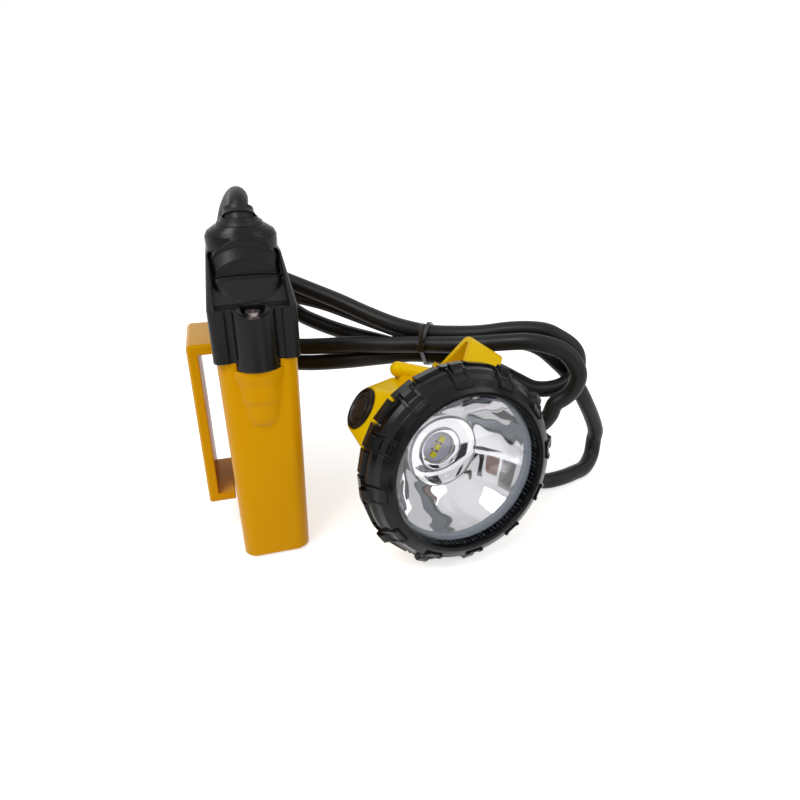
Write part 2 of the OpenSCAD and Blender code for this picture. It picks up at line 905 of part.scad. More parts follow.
module switch_button() {
    color([0.07, 0.07, 0.08])
    in_head()
        translate([-pod_x, 0, button_z])
            rotate([0, 90, 0])
                rotate_extrude($fn = 64)
                    polygon([
                        [0, -1.4], [4.8, -1.3], [5.2, -0.7], [5.8, -0.7], [6.2, -1.2],
                        [button_r - 0.6, -0.9], [button_r, -0.3],
                        [button_r, 3.4], [3, 3.4], [3, 4.2], [0, 4.2]
                    ]);
}

module switch_ring() {
    color(black)
    in_head()
        translate([-pod_x, 0, button_z])
            rotate([0, 90, 0])
                difference() {
                    translate([0, 0, -0.8])
                        cylinder(r = button_r + button_gap + 1.4, h = 7.8);
                    translate([0, 0, -2])
                        cylinder(r = button_r + button_gap, h = 8);
                    cylinder(r = 2.6, h = 12);
                }
}

module tact_switch() {
    color([0.3, 0.3, 0.32])
    in_head()
        translate([-pod_x, 0, button_z])
            rotate([0, 90, 0]) {
                translate([0, 0, 5.8])
                    cylinder(r = 2.4, h = 1.6);
                translate([-4, -4, 7])
                    cube([8, 8, 0.8]);
            }
}

// bent plate that slides into the helmet's bracket
module helmet_hook() {
    y = hook_foot;
    t = hook_t;
    color(yellow)
    in_head()
    difference() {
        rotate([0, -90, 0])
            linear_extrude(hook_w, center = true)
                polygon([
                    [-house_end + 1, y], [-house_end + 12, y], [-house_end + 9.8, y + t],
                    [-41, 49], [-39, 49.4], [-34, 38.6], [-31.6, 39.6],
                    [-36.6, 51], [-38.4, 52], [-41.4, 51.8], [-43.4, 50.4],
                    [-house_end + 7.4, y + t + 1], [-house_end + 6.6, y + t],
                    [-house_end + 1, y + t]
                ]);
        hook_holes(1.4, -6, 1);
    }
}

module hook_screws() {
    color(steel)
    in_head()
        for (i = [-1, 1])
            translate([i * hook_pitch, hook_foot + hook_t, hook_screw_z])
                rotate([-90, 0, 0])
                    pan_screw(1.25, 2.2, 8, 1.2);
}

// long ringed sleeve where the cord comes in
module head_boot() {
    color(black)
    in_head()
        rotate([0, 0, cordway_ang])
            translate([gland_x, 0, cordway_z])
                rotate([0, 90, 0])
                    difference() {
                        union() {
                            translate([0, 0, -9])
                                cylinder(r = 6, h = 10);
                            cylinder(r1 = 8.2, r2 = 7.4, h = 3);
                            cylinder(r1 = 6.6, r2 = 5.4, h = 27);
                            for (i = [0 : 3])
                                translate([0, 0, 5 + i * 5])
                                    cylinder(r = 6.8 - 0.25 * i, h = 1.6);
                        }
                        translate([0, 0, -12])
                            cylinder(r = cord_d / 2, h = 50);
                    }
}

module gland_nut() {
    color([0.2, 0.2, 0.22])
    in_head()
        rotate([0, 0, cordway_ang])
            translate([gland_x - 13, 0, cordway_z])
                rotate([0, 90, 0])
                    difference() {
                        cylinder(r = 7.6, h = 4);
                        translate([0, 0, -1])
                            cylinder(r = cord_d / 2, h = 8);
                    }
}

module head_wires() {
    color([0.7, 0.08, 0.06])
    in_head()
        for (i = [-1, 1])
            tube([
                [19.4, i * 1.6 + 1.7, cordway_z - 1], [16, i * 1.8 + 1, -48],
                [12, i * 2.4, -50], [9, i * 3, -46.4]
            ], 0.8, 8);
}

module bezel_seal() {
    color([0.2, 0.2, 0.22])
    in_head()
        ring_profile([
            [bayonet_r - 2.4, house_front + 1], [bayonet_r - 0.3, house_front + 1],
            [bayonet_r - 0.3, seat_z - 1.8], [bayonet_r - 2.4, seat_z - 1.8]
        ]);
}

// ---------- cord ----------
// round tube through hand-laid points: one closed polyhedron, sides n
function unit(v) = v / norm(v);
function tangent(p, i) =
    i == 0 ? unit(p[1] - p[0])
    : i == len(p) - 1 ? unit(p[i] - p[i - 1])
    : unit(unit(p[i + 1] - p[i]) + unit(p[i] - p[i - 1]));
function carry(p, i) =
    i == 0 ? side_of(tangent(p, 0))
    : let (u = carry(p, i - 1), t = tangent(p, i)) unit(u - (u * t) * t);
function side_of(t) = unit(cross(t, abs(t[2]) < 0.8 ? [0, 0, 1] : [1, 0, 0]));

module tube(p, r, n) {
    k = len(p);
    pts = [
        for (i = [0 : k - 1])
            let (t = tangent(p, i), u = carry(p, i), v = cross(t, u))
                for (j = [0 : n - 1])
                    p[i] + r * (cos(360 * j / n) * u + sin(360 * j / n) * v)
    ];
    walls = [
        for (i = [0 : k - 2], j = [0 : n - 1])
            [i * n + j, (i + 1) * n + j, (i + 1) * n + (j + 1) % n, i * n + (j + 1) % n]
    ];
    ends = [
        [for (j = [0 : n - 1]) j],
        [for (j = [n - 1 : -1 : 0]) (k - 1) * n + j]
    ];
    polyhedron(points = pts, faces = concat(walls, ends), convexity = 6);
}

module cord_pack_lead() {
    color(black)
        tube(lead_a, cord_d / 2, 12);
}

module cord_head_lead() {
    color(black)
        tube(lead_b, cord_d / 2, 12);
}

// outline of the tied hank: two round lobes and a waist
module hank_outline() {
    hull() {
        translate([-82, 5])
            circle(21, $fn = 32);
        translate([-10, 0])
            circle(10, $fn = 32);
    }
    hull() {
        translate([54, -6])
            circle(22, $fn = 32);
        translate([10, 0])
            circle(10, $fn = 32);
    }
    square([30, 20], center = true);
}

module cord_hank() {
    color(black)
    difference() {
        translate(hank_at)
            rotate([0, 0, hank_az])
                rotate([90, 0, 0])
                    linear_extrude(hank_t, center = true)
                        hank_outline();
        // it lies clear of the lamp head's back and hook
        in_head() {
            translate([-hook_w / 2 - 1, 10, -house_end - 0.6])
                cube([hook_w + 2, 44, 32]);
            translate([0, 0, -house_end - 0.6])
                cylinder(r = house_r + 4, h = 40);
        }
    }
}

module cable_tie() {
    color([0.05, 0.05, 0.06])
        translate(hank_at)
            rotate([0, 0, hank_az])
                translate([tie_at, 0, 0]) {
                    difference() {
                        cube([tie_w, hank_t + 2.6, 22.6], center = true);
                        cube([tie_w + 1, hank_t, 20], center = true);
                    }
                    // head of the tie and its cut tail
                    translate([-tie_w / 2 - 0.8, -hank_t / 2 - 3.6, 4])
                        cube([tie_w + 1.6, 2.4, 4]);
                    translate([-tie_w / 2, -hank_t / 2 - 2.9, 7.9])
                        cube([tie_w, 1.2, 8]);
                }
}

// ---------- the lamp ----------
battery_case();
belt_loop();
top_cover();
cover_seal();
cover_screws();
thread_inserts();
cable_boot();
cord_clamp();
clamp_screws();
battery_cells();
cell_holders();
cell_tabs();
protection_board();
board_parts();
pack_wires();
foam_pad();
head_housing();
tyre_bezel();
lens();
lens_seal();
reflector();
led_board();
led_chips();
heat_sink();
heat_sink_screws();
driver_board();
driver_parts();
switch_button();
switch_ring();
tact_switch();
helmet_hook();
hook_screws();
head_boot();
gland_nut();
head_wires();
bezel_seal();
cord_pack_lead();
cord_hank();
cord_head_lead();
cable_tie();
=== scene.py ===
"""A miner's cap lamp: battery pack, lamp head and the tied rubber cord between them."""
import math

import bpy
import numpy as np
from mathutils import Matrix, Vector


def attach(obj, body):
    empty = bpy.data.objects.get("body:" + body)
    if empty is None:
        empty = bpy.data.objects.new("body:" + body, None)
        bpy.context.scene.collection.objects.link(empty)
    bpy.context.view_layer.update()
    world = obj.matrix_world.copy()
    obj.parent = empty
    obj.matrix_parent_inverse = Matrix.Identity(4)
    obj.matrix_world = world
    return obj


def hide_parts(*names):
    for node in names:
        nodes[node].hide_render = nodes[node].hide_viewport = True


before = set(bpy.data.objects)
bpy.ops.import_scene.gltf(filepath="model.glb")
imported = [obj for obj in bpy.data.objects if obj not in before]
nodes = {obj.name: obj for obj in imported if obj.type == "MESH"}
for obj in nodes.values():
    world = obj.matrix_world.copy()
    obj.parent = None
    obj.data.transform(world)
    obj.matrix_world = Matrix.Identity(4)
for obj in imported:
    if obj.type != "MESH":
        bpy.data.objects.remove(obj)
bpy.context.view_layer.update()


# ---------------------------------------------------------------- shapes

def unit_rows(a):
    """Every row of a divided by its own length."""
    return a / np.linalg.norm(a, axis=-1, keepdims=True)


def smooth_route(points, step):
    """A cubic through every point, whose slope at each is half the step between its
    neighbours (Catmull-Rom), cut into equal steps of about the given length."""
    p = np.asarray(points, float)
    q = np.vstack([2 * p[0] - p[1], p, 2 * p[-1] - p[-2]])
    t = np.linspace(0, 1, 24, endpoint=False)[None, :, None]
    a, b, c, d = q[:-3, None], q[1:-2, None], q[2:-1, None], q[3:, None]
    run = 0.5 * (2 * b + (c - a) * t + (2 * a - 5 * b + 4 * c - d) * t ** 2
                 + (3 * b - a - 3 * c + d) * t ** 3)
    run = np.vstack([run.reshape(-1, 3), p[-1:]])
    far = np.concatenate([[0], np.cumsum(np.linalg.norm(np.diff(run, axis=0), axis=1))])
    at = np.linspace(0, far[-1], int(far[-1] / step) + 1)
    return np.stack([np.interp(at, far, run[:, k]) for k in range(3)], axis=1)


def smooth_profile(points, step):
    """The same cubic in two columns, radius and height, for a turned shape."""
    flat = np.column_stack([np.asarray(points, float), np.zeros(len(points))])
    return smooth_route(flat, step)[:, :2]


def grid_faces(rows, cols, wrap_rows, wrap_cols):
    """Quads between neighbours of a grid of rows by cols points, joined end to end where
    it wraps."""
    i = np.arange(rows if wrap_rows else rows - 1)[:, None]
    j = np.arange(cols if wrap_cols else cols - 1)[None, :]
    a = i * cols + j
    b = i * cols + (j + 1) % cols
    c = ((i + 1) % rows) * cols + (j + 1) % cols
    d = ((i + 1) % rows) * cols + j
    return np.stack([a, b, c, d], axis=-1).reshape(-1, 4).tolist()


def outward(verts, faces):
    """The faces turned so that the closed shape's signed volume, the sum of each
    corner triangle's triple product, is positive."""
    v = np.asarray(verts, float)
    tris = np.array([(f[0], f[k], f[k + 1]) for f in faces for k in range(1, len(f) - 1)])
    a, b, c = v[tris[:, 0]], v[tris[:, 1]], v[tris[:, 2]]
    if np.einsum("ij,ij->i", a, np.cross(b, c)).sum() < 0:
        return [list(reversed(f)) for f in faces]
    return faces


def make_piece(name, verts, faces, material, body="lamp", crease=40.0):
    """A mesh piece in the lamp's frame, smooth except over edges sharper than crease
    degrees."""
    mesh = bpy.data.meshes.new(name)
    mesh.from_pydata(np.asarray(verts, float).tolist(), [], outward(verts, faces))
    mesh.polygons.foreach_set("use_smooth", [True] * len(mesh.polygons))
    mesh.set_sharp_from_angle(angle=math.radians(crease))
    mesh.materials.append(material)
    piece = bpy.data.objects.new(name, mesh)
    bpy.context.collection.objects.link(piece)
    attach(piece, body)
    return piece


def tube(path, radius, sides, lean):
    """A round tube: at every path point a ring of sides points, radius times cosine along
    the cross product of the path's run with lean plus radius times sine along the second
    normal, with a flat cap at each end."""
    run = unit_rows(np.gradient(path, axis=0))
    out = unit_rows(np.cross(run, lean))
    up = np.cross(out, run)
    turn = np.linspace(0, 2 * np.pi, sides, endpoint=False)[None, :, None]
    ring = path[:, None] + radius * (np.cos(turn) * out[:, None] + np.sin(turn) * up[:, None])
    faces = grid_faces(len(path), sides, False, True)
    last = (len(path) - 1) * sides
    faces += [list(range(sides - 1, -1, -1)), list(range(last, last + sides))]
    return ring.reshape(-1, 3), faces


def turned(profile, steps, closed):
    """A profile of (radius, height) turned round the Z axis: x is radius times cosine and
    y radius times sine. Closed joins its ends; otherwise both ends lie on the axis and
    become single points."""
    profile = np.asarray(profile, float)
    turn = np.linspace(0, 2 * np.pi, steps, endpoint=False)[None, :]
    core = profile if closed else profile[1:-1]
    ring = np.stack([core[:, :1] * np.cos(turn), core[:, :1] * np.sin(turn),
                     np.repeat(core[:, 1:], steps, axis=1)], axis=-1).reshape(-1, 3)
    faces = grid_faces(len(core), steps, closed, True)
    if not closed:
        first, last = len(ring), len(ring) + 1
        ring = np.vstack([ring, [0, 0, profile[0, 1]], [0, 0, profile[-1, 1]]])
        k = np.arange(steps)
        end = (len(core) - 1) * steps
        faces += np.stack([(k + 1) % steps, k, k * 0 + first], 1).tolist()
        faces += np.stack([end + k, end + (k + 1) % steps, k * 0 + last], 1).tolist()
    return ring, faces


# the lamp head's own frame: +Z is where it shines, and its origin is the lip's centre
HEAD_AT = np.array([0.0808, -0.0681, 0.0477])
HEAD_BEARING, HEAD_LEAN, HEAD_ROLL = 6.6, 83.5, -35
MM = 0.001


def turn_x(angle):
    """Rotation about X by degrees."""
    c, s = math.cos(math.radians(angle)), math.sin(math.radians(angle))
    return np.array([[1, 0, 0], [0, c, -s], [0, s, c]])


def turn_z(angle):
    """Rotation about Z by degrees."""
    c, s = math.cos(math.radians(angle)), math.sin(math.radians(angle))
    return np.array([[c, -s, 0], [s, c, 0], [0, 0, 1]])


HEAD_TURN = turn_z(HEAD_BEARING) @ turn_x(HEAD_LEAN) @ turn_z(HEAD_ROLL)


def in_head(verts):
    """Points of the head's own frame, in millimetres, moved to the lamp's frame: turned by
    the head's three angles, then shifted to the lip's centre."""
    return HEAD_AT + MM * np.asarray(verts, float) @ HEAD_TURN.T


# ---------------------------------------------------------------- materials

GRAIN_SIZE, GRAIN_DEEP = 2500.0, 0.0002
MOTTLE_SIZE, MOTTLE_LOW, MOTTLE_HIGH = 60, 0.3, 0.7


def finish(name, colour, rough, metal=0.0, specular=0.5, grain=0.0, soft_edge=0.0,
           mottle=0.0, tint=(1.0, 1.0, 1.0)):
    """A solid finish of one colour. Grain is the strength of a fine bump, mottle how far
    the roughness drifts either way, soft_edge the radius that corners are shaded with, and
    tint the colour of the gloss."""
    material = bpy.data.materials.new(name)
    material.use_nodes = True
    tree = material.node_tree
    shader = tree.nodes["Principled BSDF"]
    shader.inputs["Base Color"].default_value = (*colour, 1)
    shader.inputs["Roughness"].default_value = rough
    shader.inputs["Metallic"].default_value = metal
    shader.inputs["Specular IOR Level"].default_value = specular
    shader.inputs["Specular Tint"].default_value = (*tint, 1)
    normal = None
    if soft_edge:
        edge = tree.nodes.new("ShaderNodeBevel")
        edge.samples = 6
        edge.inputs["Radius"].default_value = soft_edge
        normal = edge.outputs["Normal"]
    if grain or mottle:
        where = tree.nodes.new("ShaderNodeTexCoord")
        noise = tree.nodes.new("ShaderNodeTexNoise")
        noise.inputs["Scale"].default_value = GRAIN_SIZE
        noise.inputs["Detail"].default_value = 3
        tree.links.new(where.outputs["Object"], noise.inputs["Vector"])
        if grain:
            bump = tree.nodes.new("ShaderNodeBump")
            bump.inputs["Strength"].default_value = grain
            bump.inputs["Distance"].default_value = GRAIN_DEEP
            tree.links.new(noise.outputs["Fac"], bump.inputs["Height"])
            if normal:
                tree.links.new(normal, bump.inputs["Normal"])
            normal = bump.outputs["Normal"]
        if mottle:
            cloud = tree.nodes.new("ShaderNodeTexNoise")
            cloud.inputs["Scale"].default_value = MOTTLE_SIZE
            cloud.inputs["Detail"].default_value = 4
            tree.links.new(where.outputs["Object"], cloud.inputs["Vector"])
            ramp = tree.nodes.new("ShaderNodeMapRange")
            ramp.inputs["From Min"].default_value = MOTTLE_LOW
            ramp.inputs["From Max"].default_value = MOTTLE_HIGH
            ramp.inputs["To Min"].default_value = rough - mottle
            ramp.inputs["To Max"].default_value = rough + mottle
            tree.links.new(cloud.outputs["Fac"], ramp.inputs["Value"])
            tree.links.new(ramp.outputs["Result"], shader.inputs["Roughness"])
    if normal:
        tree.links.new(normal, shader.inputs["Normal"])
    return material


pack_yellow = finish("pack yellow", (0.67, 0.31, 0.001), 0.32, specular=0.3,
                     soft_edge=0.0010, grain=0.05, mottle=0.04, tint=(1.0, 0.62, 0.05))
head_yellow = finish("head yellow", (0.78, 0.50, 0.001), 0.30, specular=0.3,
                     soft_edge=0.0008, grain=0.05, mottle=0.04, tint=(1.0, 0.75, 0.05))
cover_black = finish("cover black", (0.004, 0.004, 0.004), 0.27, specular=0.22,
                     soft_edge=0.0012, grain=0.12, mottle=0.06)
tyre_black = finish("tyre rubber", (0.003, 0.003, 0.0035), 0.20, specular=0.22,
                    soft_edge=0.0006, grain=0.06, mottle=0.05)
boot_black = finish("boot rubber", (0.006, 0.006, 0.006), 0.38, specular=0.25,
                    soft_edge=0.0005, grain=0.15)
cord_black = finish("cord rubber", (0.008, 0.008, 0.008), 0.40, specular=0.24, grain=0.2,
                    mottle=0.05)
tie_black = finish("tie nylon", (0.008, 0.008, 0.008), 0.25)
seal_grey = finish("seal rubber", (0.10, 0.12, 0.14), 0.5)
inner_black = finish("inner plastic", (0.03, 0.03, 0.032), 0.5)
mirror = finish("reflector metal", (0.70, 0.69, 0.69), 0.05, metal=1.0)
board_white = finish("board white", (0.62, 0.60, 0.72), 0.4)
chip_yellow = finish("chip phosphor", (1.0, 0.86, 0.01), 0.5)
board_green = finish("board green", (0.02, 0.10, 0.04), 0.35)
parts_dark = finish("board parts", (0.02, 0.02, 0.022), 0.4)
screw_steel = finish("screw steel", (0.46, 0.40, 0.38), 0.3, metal=1.0)
insert_brass = finish("insert brass", (0.72, 0.50, 0.20), 0.35, metal=1.0)
strip_nickel = finish("nickel strip", (0.66, 0.64, 0.58), 0.35, metal=1.0)
sink_aluminium = finish("heat sink", (0.75, 0.76, 0.78), 0.4, metal=1.0)
cell_wrap = finish("cell wrap", (0.03, 0.10, 0.32), 0.35)
foam_grey = finish("foam", (0.06, 0.06, 0.07), 0.9)
wire_red = finish("wire", (0.55, 0.02, 0.015), 0.35)


def clear_glass(name):
    """Clear moulded plastic that lets the light straight through, with a faint gloss."""
    material = bpy.data.materials.new(name)
    material.use_nodes = True
    tree = material.node_tree
    shader = tree.nodes["Principled BSDF"]
    shader.inputs["Base Color"].default_value = (0.97, 0.98, 1.0, 1)
    shader.inputs["Roughness"].default_value = 0.0
    shader.inputs["IOR"].default_value = 1.49
    shader.inputs["Transmission Weight"].default_value = 1.0
    return material


lens_clear = clear_glass("lens plastic")
lens_edge = finish("lens edge", (0.30, 0.36, 0.44), 0.22, specular=0.6)

PAINT = {
    pack_yellow: ["battery_case", "belt_loop"],
    head_yellow: ["head_housing", "helmet_hook"],
    cover_black: ["top_cover", "switch_ring"],
    tyre_black: ["tyre_bezel"],
    boot_black: ["cable_boot", "head_boot", "switch_button"],
    seal_grey: ["cover_seal", "lens_seal", "bezel_seal"],
    inner_black: ["cord_clamp", "cell_holders", "gland_nut"],
    board_white: ["led_board"],
    chip_yellow: ["led_chips"],
    board_green: ["protection_board", "driver_board"],
    parts_dark: ["board_parts", "driver_parts", "tact_switch"],
    screw_steel: ["cover_screws", "clamp_screws", "heat_sink_screws", "hook_screws"],
    insert_brass: ["thread_inserts"],
    strip_nickel: ["cell_tabs"],
    sink_aluminium: ["heat_sink"],
    cell_wrap: ["battery_cells"],
    foam_grey: ["foam_pad"],
    wire_red: ["pack_wires", "head_wires"],
}
for material, names in PAINT.items():
    for name in names:
        nodes[name].data.materials.clear()
        nodes[name].data.materials.append(material)


# ---------------------------------------------------------------- cord and tie

# centres along the cord in millimetres: from the pack, through the bundle, to the head
LEAD_A = [
    (0, 0, 134), (0, 0, 141),
    (0, 2.5, 148.7), (0.5, 5.4, 151.4), (0.8, 10.5, 152.6), (0.2, 17, 152.2),
    (-1.4, 24, 149.4), (-3.4, 31, 144.2), (-5, 37, 137.4), (-5.6, 43, 130),
    (-4, 49, 121.5), (3, 53, 115),
]
WINDING = [
    (18, 51, 108), (33, 44, 102), (47, 34, 97), (59.5, 24, 92), (72.5, 15.5, 87.5),
    (86.5, 9.5, 84.5), (98.5, 5, 84), (111.5, -1, 85), (123.5, -7, 87.5), (133, -12, 88.5),
    (140, -16, 88), (146, -19, 85), (151, -21, 81.5), (154.5, -22, 77), (156, -22, 71),
    (155, -21.5, 65), (150.5, -21, 60.5), (144, -19, 58), (136.5, -15, 57.5),
    (129.5, -9.5, 60.5), (121.5, -4, 64.5), (111, 0.5, 68.5), (96, 5, 71.5),
    (80, 9.5, 73.5), (63.5, 15.5, 71.5), (46.5, 23, 68.5), (29, 33, 65.5), (16, 43, 64.5),
    (3.5, 53.5, 68.5), (-2, 61.5, 78), (3, 65.5, 88), (14.5, 64.5, 91), (24, 61, 88),
    (31.5, 56.5, 83.5), (40, 51.5, 80), (48, 46.5, 77.5), (56.5, 39, 76), (69, 28, 74.5),
    (82.5, 18, 71.5), (96.5, 14, 68), (109, 9, 60.5), (118.5, -0.5, 52), (125, -12, 44),
    (129.5, -22.5, 40.5), (134.5, -28.5, 43.5), (138.5, -30, 49), (141, -29.5, 54.5),
    (145.5, -31, 58.5), (148.5, -32.5, 63), (150, -33, 69.5), (148.5, -32, 75),
    (144, -29.5, 81), (137, -26.5, 84.5), (128, -22, 86), (119.5, -17, 85),
    (107.5, -10.5, 83), (94, -3.5, 81.5), (79.5, 3, 81), (65, 9.5, 80), (50.5, 18.5, 78.5),
    (37, 27.5, 76), (25, 36, 74), (13, 43.5, 73.5), (1, 50, 78), (-2.5, 54, 87),
    (5, 54.5, 95.5), (15.5, 54, 97.5), (25, 53.5, 97), (41, 49, 93), (55.5, 39, 88.5),
    (69, 28, 84.5), (83, 19, 80.5), (101, 13, 78.5), (115, 6.5, 78), (126.5, 1, 78.5),
    (136, -4, 78.5), (143.5, -7.5, 75.5),
]
LEAD_B = [
    (150.5, -10, 69.5), (157.5, -12, 62.5), (164, -13, 54), (170, -13, 44.5),
    (176.5, -11.5, 34), (181.5, -10, 24), (182.5, -8.5, 17), (180, -11.5, 8.6),
    (173, -16.5, 4.6), (164, -20, 4.5), (154, -22.6, 4.6), (144, -23.3, 5),
    (135.3, -23.68, 8.96), (128.53, -24.02, 12.84), (119.34, -24.48, 18.11),
    (110.68, -24.91, 23.07),
]
CORD_D = 0.0085
# the skin stays just inside the solids, whose tubes have flat sides
CORD_SKIN = CORD_D / 2 - 0.00008
CORD_SIDES, CORD_STEP = 20, 0.0016
BUNDLE_RUN = np.array([0.834, -0.552, 0.0])
BUNDLE_LEAN = np.array([0.552, 0.834, 0.0])
UP = np.array([0, 0, 1.0])

route = smooth_route(MM * np.array(LEAD_A + WINDING + LEAD_B), CORD_STEP)
verts, faces = tube(route, CORD_SKIN, CORD_SIDES, BUNDLE_LEAN)
cord = make_piece("cord", verts, faces, cord_black)
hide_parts("cord_pack_lead", "cord_hank", "cord_head_lead")


TIE_AT = np.array([0.0858, 0.0065, 0.0794])
TIE_WIDE, TIE_THICK = 0.0020, 0.0011
TIE_REACH, TIE_STEPS = 0.04, 96
LOCK_SIZE, TAIL_SIZE = (0.0036, 0.0030, 0.0036), (0.0020, 0.0011, 0.0112)
LOCK_OUT, LOCK_UP, TAIL_UP = 0.0022, 0.0006, 0.0062


def tie_band(route, at, width, inner, outer):
    """A band round every strand that crosses the plane at the tie. Its outline at angle
    w is the centre of the strand that reaches furthest that way plus a radius along w,
    which is the outline of a string pulled round the strands; inner and outer radius and
    the two edges give a closed ring of rectangular section."""
    along = (route - at) @ BUNDLE_RUN
    cut = np.nonzero((along[:-1] * along[1:] < 0)
                     & (np.linalg.norm(route[:-1] - at, axis=1) < TIE_REACH))[0]
    middle = route[cut] - at
    flat = np.column_stack([middle @ BUNDLE_LEAN, middle[:, 2]])
    turn = np.linspace(0, 2 * np.pi, TIE_STEPS, endpoint=False)
    way = np.column_stack([np.cos(turn), np.sin(turn)])
    reach = flat[np.argmax(way @ flat.T, axis=1)]
    rings = []
    for radius, side in ((outer, -1), (outer, 1), (inner, 1), (inner, -1)):
        p = reach + radius * way
        rings.append(at + p[:, :1] * BUNDLE_LEAN + p[:, 1:] * UP
                     + side * width / 2 * BUNDLE_RUN)
    return np.vstack(rings), grid_faces(4, TIE_STEPS, True, True), flat


def slab_box(centre, axes, sizes):
    """A box: its centre plus and minus half of each size along each axis."""
    corner = np.array([(i, j, k) for i in (-1, 1) for j in (-1, 1) for k in (-1, 1)])
    verts = centre + (corner * np.asarray(sizes) / 2) @ np.asarray(axes)
    faces = [[0, 1, 3, 2], [4, 6, 7, 5], [0, 4, 5, 1],
             [2, 3, 7, 6], [0, 2, 6, 4], [1, 5, 7, 3]]
    return verts, faces


def joined(*parts):
    """Several vertex and face lists as one."""
    verts, faces, base = [], [], 0
    for v, f in parts:
        verts.append(v)
        faces += [[base + k for k in face] for face in outward(v, f)]
        base += len(v)
    return np.vstack(verts), faces


band_v, band_f, strands = tie_band(route, TIE_AT, TIE_WIDE, CORD_D / 2,
                                   CORD_D / 2 + TIE_THICK)
# the lock sits on the strand nearest the front, with the cut tail standing up from it
front = strands[np.argmin(strands[:, 0] - 0.4 * strands[:, 1])]
near = (TIE_AT + (front[0] - CORD_D / 2 - LOCK_OUT) * BUNDLE_LEAN
        + (front[1] + LOCK_UP) * UP)
axes = [BUNDLE_RUN, BUNDLE_LEAN, UP]
lock = slab_box(near, axes, LOCK_SIZE)
tail = slab_box(near + TAIL_UP * UP, axes, TAIL_SIZE)
verts, faces = joined((band_v, band_f), lock, tail)
tie = make_piece("cord_tie", verts, faces, tie_black, crease=30)
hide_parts("cable_tie")


# ---------------------------------------------------------------- lamp head optics

# heights of the window's seat and the board's face, and the window's radius, in the
# head's own millimetres; the profiles below are (radius, height) points of the same
SEAT, BOARD, LIP = -11.4, -35.0, 34.5
BOWL_STEPS, WINDOW_STEPS = 192, 160
bowl = smooth_profile([
    (17.5, BOARD + 6.9), (22, BOARD + 10.2), (27, BOARD + 15.2), (31, SEAT - 3.2),
    (33.2, SEAT)], 0.5)
rings = np.array([
    (7.0, BOARD + 1.6), (7.4, BOARD + 3.0), (7.9, BOARD + 3.5), (10.0, BOARD + 3.8),
    (10.3, BOARD + 4.0), (10.7, BOARD + 4.5), (13.9, BOARD + 4.9), (16.8, BOARD + 5.8),
    (17.25, BOARD + 6.1)])
back = np.array([
    (LIP - 1.2, SEAT), (LIP - 1.2, SEAT - 1.8), (34.6, SEAT - 1.8), (34.6, SEAT - 3.2),
    (32.8, SEAT - 3.2), (28.4, BOARD + 14.4), (23.2, BOARD + 9.4), (18.6, BOARD + 6),
    (18.2, BOARD + 4.9), (14.4, BOARD + 3.8), (11.4, BOARD + 3.2), (9.4, BOARD + 2.2),
    (9, BOARD + 1.6)])
verts, faces = turned(np.vstack([rings, bowl, back]), BOWL_STEPS, True)
reflector = make_piece("reflector_bowl", in_head(verts), faces, mirror,
                       crease=35)
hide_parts("reflector")

front_face = smooth_profile([(0, -1.4), (12, -1.6), (24, -2.2), (LIP, -3.2)], 1.0)
rear_face = smooth_profile([(LIP - 2, -5.2), (24, -4.4), (12, -3.8), (0, -3.6)], 1.0)
window = np.vstack([front_face, [(LIP, SEAT), (LIP - 2, SEAT)], rear_face])
verts, faces = turned(window, WINDOW_STEPS, False)
lens = make_piece("lens_window", in_head(verts), faces, lens_clear, crease=35)
lens.data.materials.append(lens_edge)
# the moulded wall between the window and the seat is milky, the window itself clear
middle = np.array([np.mean(np.asarray(verts)[list(face)], axis=0) for face in faces])
wall = (np.hypot(middle[:, 0], middle[:, 1]) > LIP - 2.5) & (middle[:, 2] < -4.0)
lens.data.polygons.foreach_set("material_index", wall.astype(np.int32))
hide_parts("lens")

# dark joints of the board between its three emitters
MARK_UP, MARK_OUT = BOARD + 1.75, 2.05
marks = [slab_box(np.array([x, side * MARK_OUT, MARK_UP]), np.eye(3), size)
         for x, size in ((0.9, (1.0, 0.7, 0.3)), (-1.9, (1.2, 0.5, 0.3)))
         for side in (-1, 1)]
verts, faces = joined(*marks)
marks = make_piece("board_marks", in_head(verts), faces, parts_dark, crease=30)


# ---------------------------------------------------------------- studio

def white_to_the_eye(tree):
    """One where a ray comes from the camera, a mirror or glass, and nought otherwise."""
    path = tree.nodes.new("ShaderNodeLightPath")
    first = tree.nodes.new("ShaderNodeMath")
    first.operation = "MAXIMUM"
    second = tree.nodes.new("ShaderNodeMath")
    second.operation = "MAXIMUM"
    tree.links.new(path.outputs["Is Camera Ray"], first.inputs[0])
    tree.links.new(path.outputs["Is Glossy Ray"], first.inputs[1])
    tree.links.new(first.outputs[0], second.inputs[0])
    tree.links.new(path.outputs["Is Transmission Ray"], second.inputs[1])
    return second.outputs[0]


world = bpy.data.worlds.new("studio")
bpy.context.scene.world = world
world.use_nodes = True
sky = world.node_tree
sky.nodes.clear()
room = sky.nodes.new("ShaderNodeBackground")
room.inputs["Color"].default_value = (1, 1, 1, 1)
room.inputs["Strength"].default_value = 0.55
plain = sky.nodes.new("ShaderNodeBackground")
plain.inputs["Color"].default_value = (1, 1, 1, 1)
plain.inputs["Strength"].default_value = 1.0
pick = sky.nodes.new("ShaderNodeMixShader")
out = sky.nodes.new("ShaderNodeOutputWorld")
sky.links.new(white_to_the_eye(sky), pick.inputs[0])
sky.links.new(room.outputs[0], pick.inputs[1])
sky.links.new(plain.outputs[0], pick.inputs[2])
sky.links.new(pick.outputs[0], out.inputs["Surface"])

